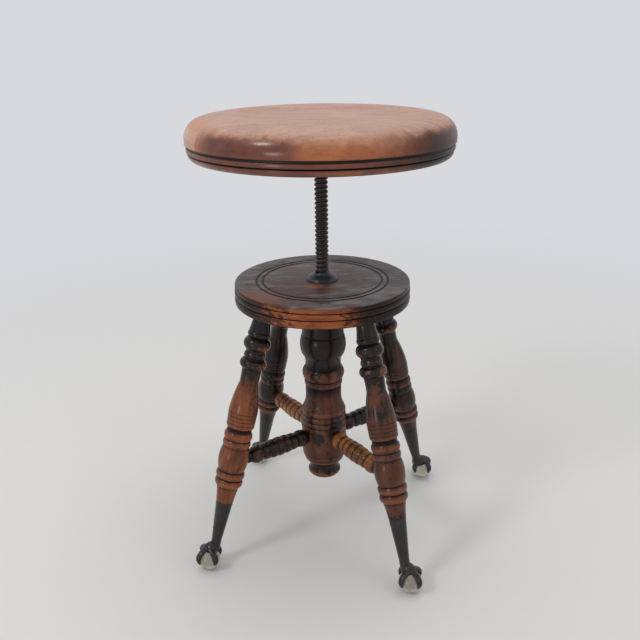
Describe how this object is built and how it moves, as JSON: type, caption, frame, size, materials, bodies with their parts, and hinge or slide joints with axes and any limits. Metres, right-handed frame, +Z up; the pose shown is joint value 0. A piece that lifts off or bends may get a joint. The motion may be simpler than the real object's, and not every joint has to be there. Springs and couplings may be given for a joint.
{
  "type": "revolving piano stool",
  "caption": "Revolving wooden piano stool: round seat on a lifting screw, turned column and splayed legs, stretchers, iron claws on glass balls",
  "frame": {"origin": "on the floor under the middle of the seat", "axes": "+Z up, the seat turns about Z, -Y is the side with the two front legs"},
  "size_m": [0.356, 0.356, 0.631],
  "materials": {
    "seat_wood": "worn satin varnish",
    "ebonised_wood": "worn blackened shellac",
    "column_wood": "crackled dark shellac",
    "leg_wood": "crackled dark shellac",
    "stretcher_wood": "golden brown shellac",
    "dark_iron": "black japanned",
    "screw_iron": "oiled, dark",
    "collar_iron": "worn black paint",
    "bright_steel": "plain",
    "clear_glass": "polished"
  },
  "bodies": {
    "base": {"lift_nut": "collar_iron", "base_disc": "ebonised_wood", "center_column": "column_wood", "leg_back_right": "leg_wood", "leg_back_left": "leg_wood", "leg_front_left": "leg_wood", "leg_front_right": "leg_wood", "stretcher_back_right": "stretcher_wood", "stretcher_back_left": "stretcher_wood", "stretcher_front_left": "stretcher_wood", "stretcher_front_right": "stretcher_wood", "claw_foot_back_right": "dark_iron", "claw_foot_back_left": "dark_iron", "claw_foot_front_left": "dark_iron", "claw_foot_front_right": "dark_iron", "glass_ball_back_right": "clear_glass", "glass_ball_back_left": "clear_glass", "glass_ball_front_left": "clear_glass", "glass_ball_front_right": "clear_glass", "claw_nails": "bright_steel"},
    "stop_washer": {"stop_washer": "screw_iron"},
    "seat": {"seat": "seat_wood", "seat_spider": "dark_iron", "spider_screws": "bright_steel", "lift_screw": "screw_iron"}
  },
  "joints": [
    {"name": "seat_lift", "type": "slide", "parent": "base", "child": "stop_washer", "axis": [0, 0, 1], "range_m": [-0.1475, 0.0415]},
    {"name": "seat_turn", "type": "hinge", "parent": "stop_washer", "child": "seat", "pos_m": [0, 0, 0.35], "axis": [0, 0, 1], "range_deg": [-8361, 2352]}
  ],
  "couplings": [
    {"joint": "seat_lift", "follows": "seat_turn", "m_per_rad": 0.0010106}
  ]
}
